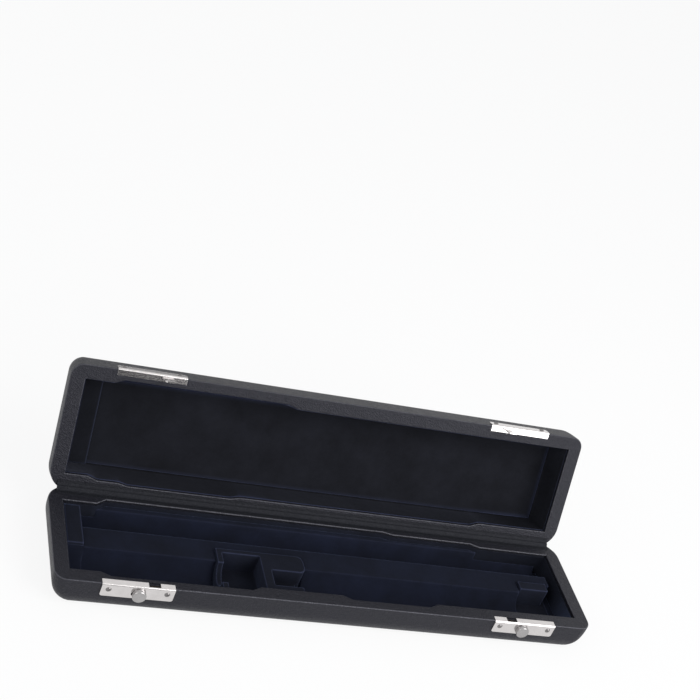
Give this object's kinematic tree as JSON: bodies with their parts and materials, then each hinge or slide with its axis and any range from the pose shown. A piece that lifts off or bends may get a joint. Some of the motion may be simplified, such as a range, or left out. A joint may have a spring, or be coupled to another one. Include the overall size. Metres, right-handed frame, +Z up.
{
  "type": "flute case",
  "caption": "Slim rounded leatherette case, open, with a fitted velvet bed, a hinged lid on a full-length strip hinge and sprung slide latches.",
  "frame": {"origin": "centre of the flat bottom that the case rests on", "axes": "+Z up, +X along the case, the front with the latches towards -Y"},
  "size_m": [0.395, 0.1448, 0.1092],
  "materials": {
    "cover": "satin black grained leatherette",
    "board": "plain plywood",
    "velvet": "dark navy velvet",
    "nickel": "polished nickel plate",
    "steel": "plain steel"
  },
  "bodies": {
    "base": {"base_shell": "board", "base_cover": "cover", "base_bed": "velvet", "centre_rest": "velvet", "end_rest_left": "velvet", "end_rest_right": "velvet", "hinge_leaf_base": "steel", "hinge_pin": "steel", "hinge_nails_base": "steel", "hinge_strip": "cover", "latch_plate_left": "nickel", "latch_spring_left": "steel", "latch_housing_left": "steel", "latch_screws_left": "nickel", "latch_plate_right": "nickel", "latch_spring_right": "steel", "latch_housing_right": "steel", "latch_screws_right": "nickel"},
    "lid": {"lid_shell": "board", "lid_cover": "cover", "lid_lining": "velvet", "lid_end_pad": "velvet", "hinge_leaf_lid": "steel", "hinge_nails_lid": "steel", "catch_plate_left": "nickel", "catch_hook_left": "nickel", "catch_screws_left": "nickel", "catch_plate_right": "nickel", "catch_hook_right": "nickel", "catch_screws_right": "nickel"},
    "latch_left": {"latch_knob_left": "nickel", "latch_bolt_left": "steel"},
    "latch_right": {"latch_knob_right": "nickel", "latch_bolt_right": "steel"}
  },
  "joints": [
    {"name": "lid_hinge", "type": "hinge", "parent": "base", "child": "lid", "pos_m": [0, 0.04275, 0.024], "axis": [1, 0, 0], "range_deg": [0, 110], "deforming": ["hinge_strip"]},
    {"name": "latch_slide_left", "type": "slide", "parent": "base", "child": "latch_left", "axis": [-1, 0, 0], "range_m": [0, 0.0035], "stiffness_N_per_m": 250, "springref_m": -0.003, "deforming": ["latch_spring_left"]},
    {"name": "latch_slide_right", "type": "slide", "parent": "base", "child": "latch_right", "axis": [1, 0, 0], "range_m": [0, 0.0035], "stiffness_N_per_m": 250, "springref_m": -0.003, "deforming": ["latch_spring_right"]}
  ]
}
